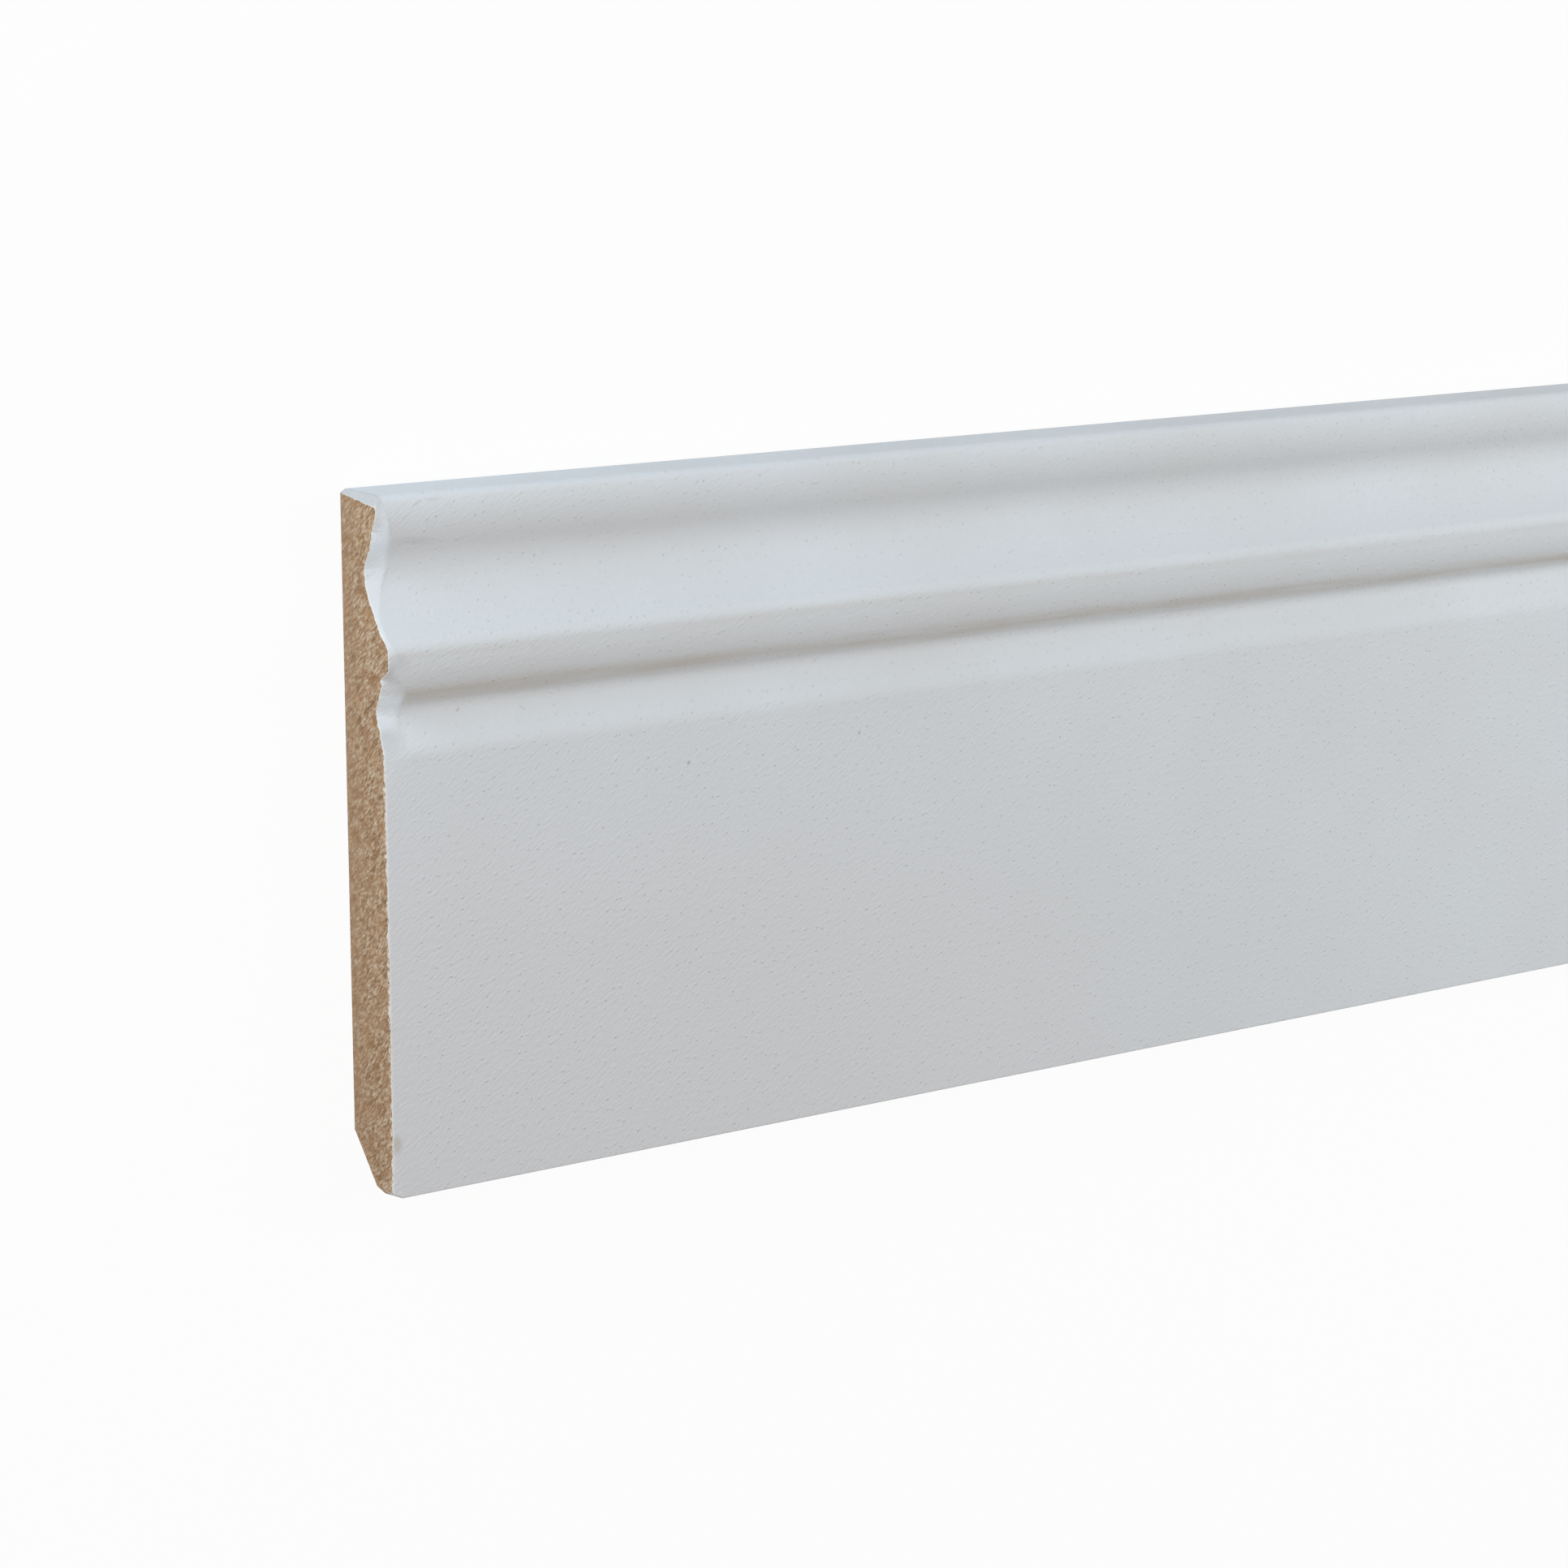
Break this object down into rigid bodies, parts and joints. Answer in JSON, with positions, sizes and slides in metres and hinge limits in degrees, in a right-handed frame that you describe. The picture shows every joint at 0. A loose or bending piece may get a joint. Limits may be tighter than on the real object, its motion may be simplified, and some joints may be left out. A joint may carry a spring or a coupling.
{
  "type": "moulded MDF skirting board",
  "caption": "Long white-faced MDF skirting board with a bead, cove, nose and groove moulded along its top and a bevelled rear foot, for covering the joint between wall and floor.",
  "frame": {"origin": "centre of the board's back, at floor level as it lies on its back", "axes": "+X along the length, +Y from the foot towards the moulded top edge, +Z out of the moulded face"},
  "size_m": [2.4, 0.14, 0.018],
  "materials": {
    "white_faced_mdf": "satin"
  },
  "bodies": {
    "root": {"skirting_board": "white_faced_mdf"}
  },
  "joints": []
}
